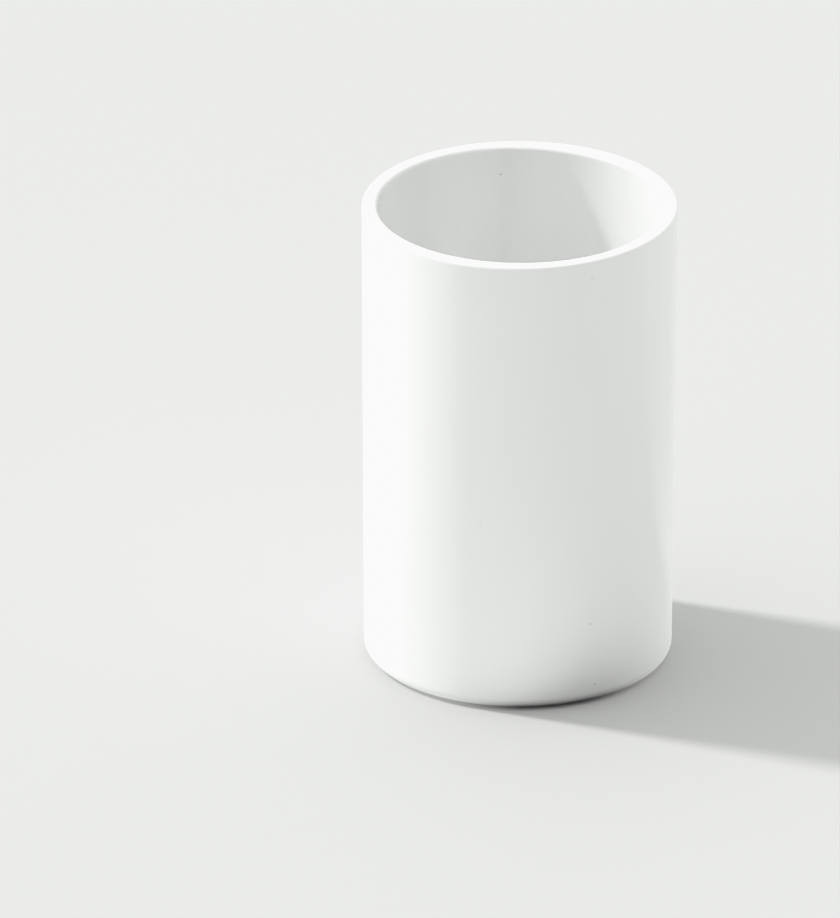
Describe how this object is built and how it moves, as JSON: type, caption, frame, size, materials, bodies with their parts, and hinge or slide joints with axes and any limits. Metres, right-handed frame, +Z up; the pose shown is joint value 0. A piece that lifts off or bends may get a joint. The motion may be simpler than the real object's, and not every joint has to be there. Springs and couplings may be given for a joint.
{
  "type": "pen holder cup",
  "caption": "Round, slightly tapered desk cup with a rounded lip, thick floor and recessed underside on stick-on bumper feet; holds pens upright.",
  "frame": {"origin": "centre of the resting plane, where the bumper feet touch the desk, on the cup's axis", "axes": "+Z up along the cup's axis towards its mouth; -Y is the front; the feet stand on the diagonals"},
  "size_m": [0.0714, 0.0714, 0.11],
  "materials": {
    "shell_gloss_white": "gloss",
    "foot_rubber": "satin",
    "adhesive_film": "satin"
  },
  "bodies": {
    "root": {"cup_shell": "shell_gloss_white", "foot_back_right": "foot_rubber", "foot_back_left": "foot_rubber", "foot_front_left": "foot_rubber", "foot_front_right": "foot_rubber", "adhesive_disc_back_right": "adhesive_film", "adhesive_disc_back_left": "adhesive_film", "adhesive_disc_front_left": "adhesive_film", "adhesive_disc_front_right": "adhesive_film"}
  },
  "joints": []
}
